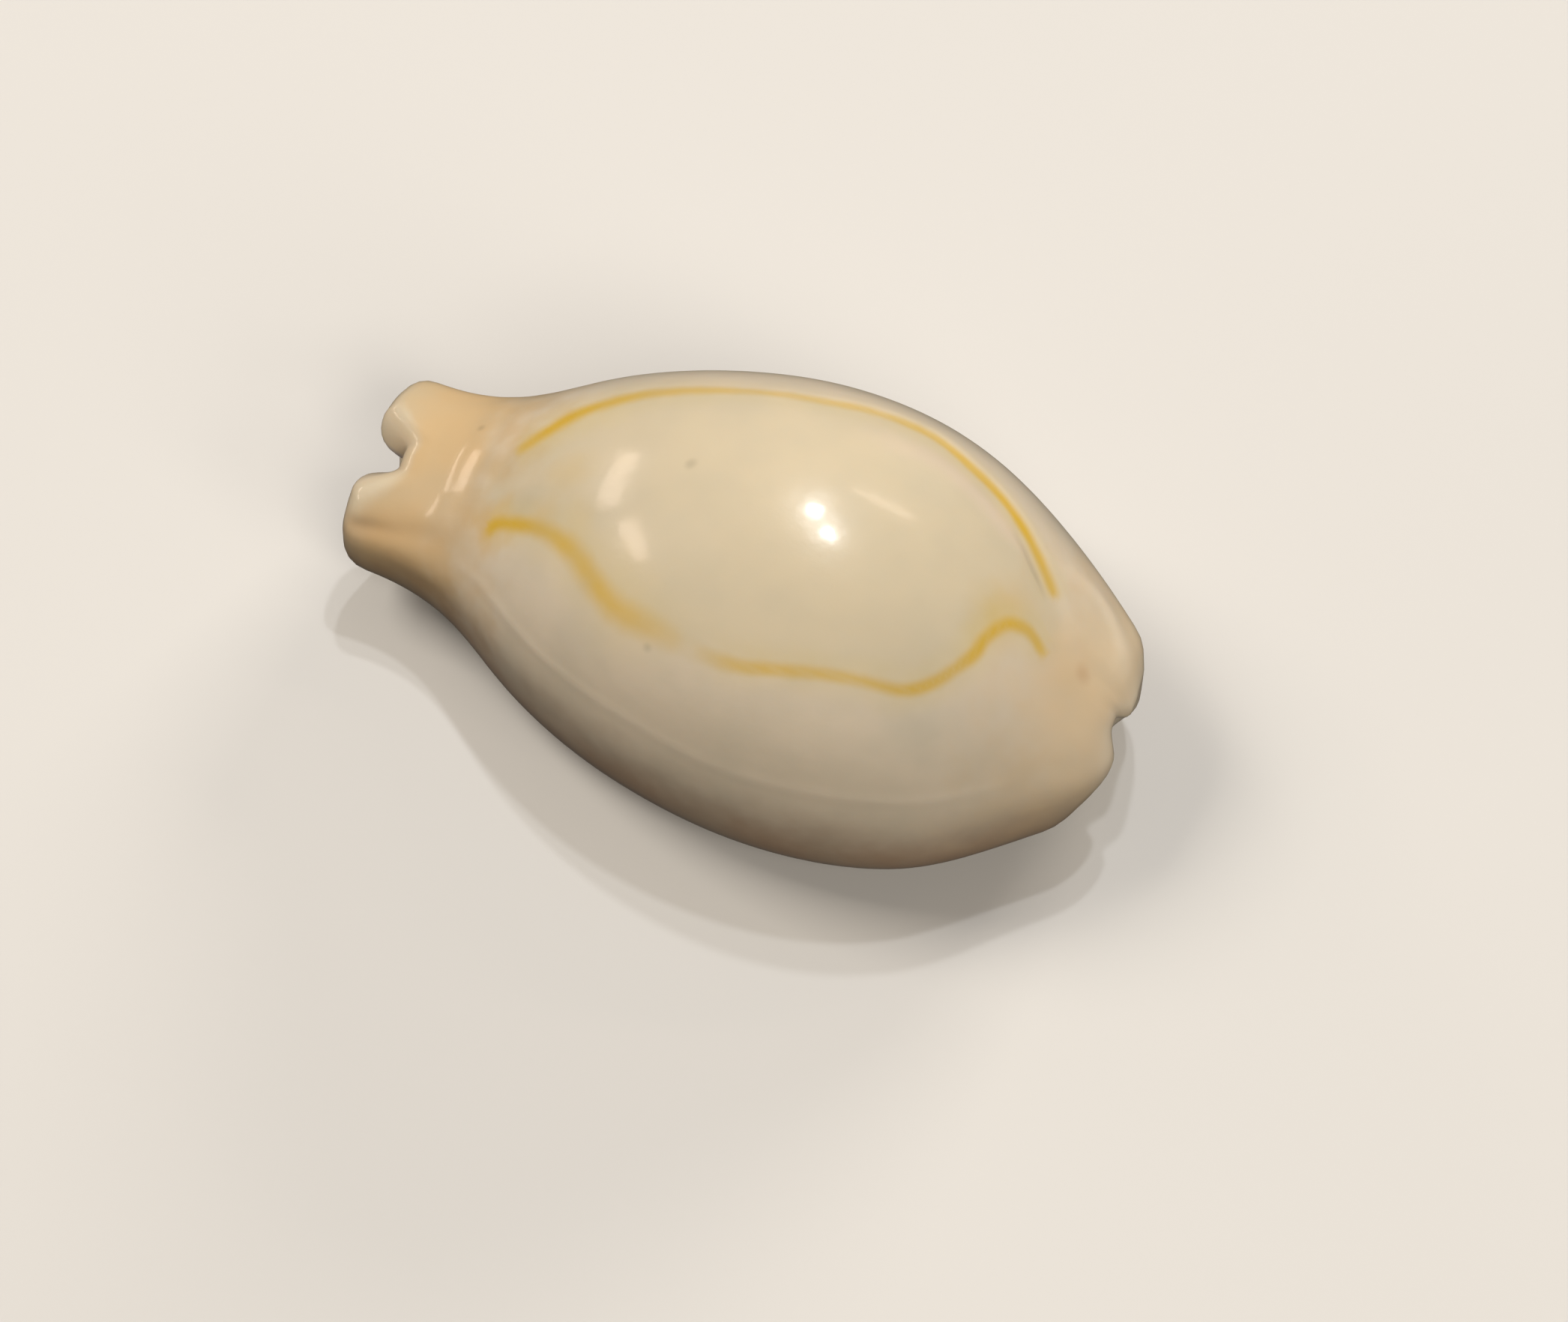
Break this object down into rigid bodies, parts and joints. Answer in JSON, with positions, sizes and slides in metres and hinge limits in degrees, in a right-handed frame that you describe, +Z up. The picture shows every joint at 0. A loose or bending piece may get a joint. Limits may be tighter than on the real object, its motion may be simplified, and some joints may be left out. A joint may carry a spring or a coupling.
{
  "type": "cowrie shell",
  "caption": "Glossy egg-shaped cowrie shell with a domed back, a gold ring line, a spout-like anterior end, a notch at each end and a toothed slit along its flat base.",
  "frame": {"origin": "on the surface the shell lies on, under the middle of its length and width", "axes": "+X along the shell to its broad posterior end, +Y to the outer-lip (labral) side, +Z up through the domed back"},
  "size_m": [0.024, 0.0138, 0.01],
  "materials": {
    "shell": "gloss, porcelain-like natural enamel"
  },
  "bodies": {
    "root": {"shell": "shell"}
  },
  "joints": []
}
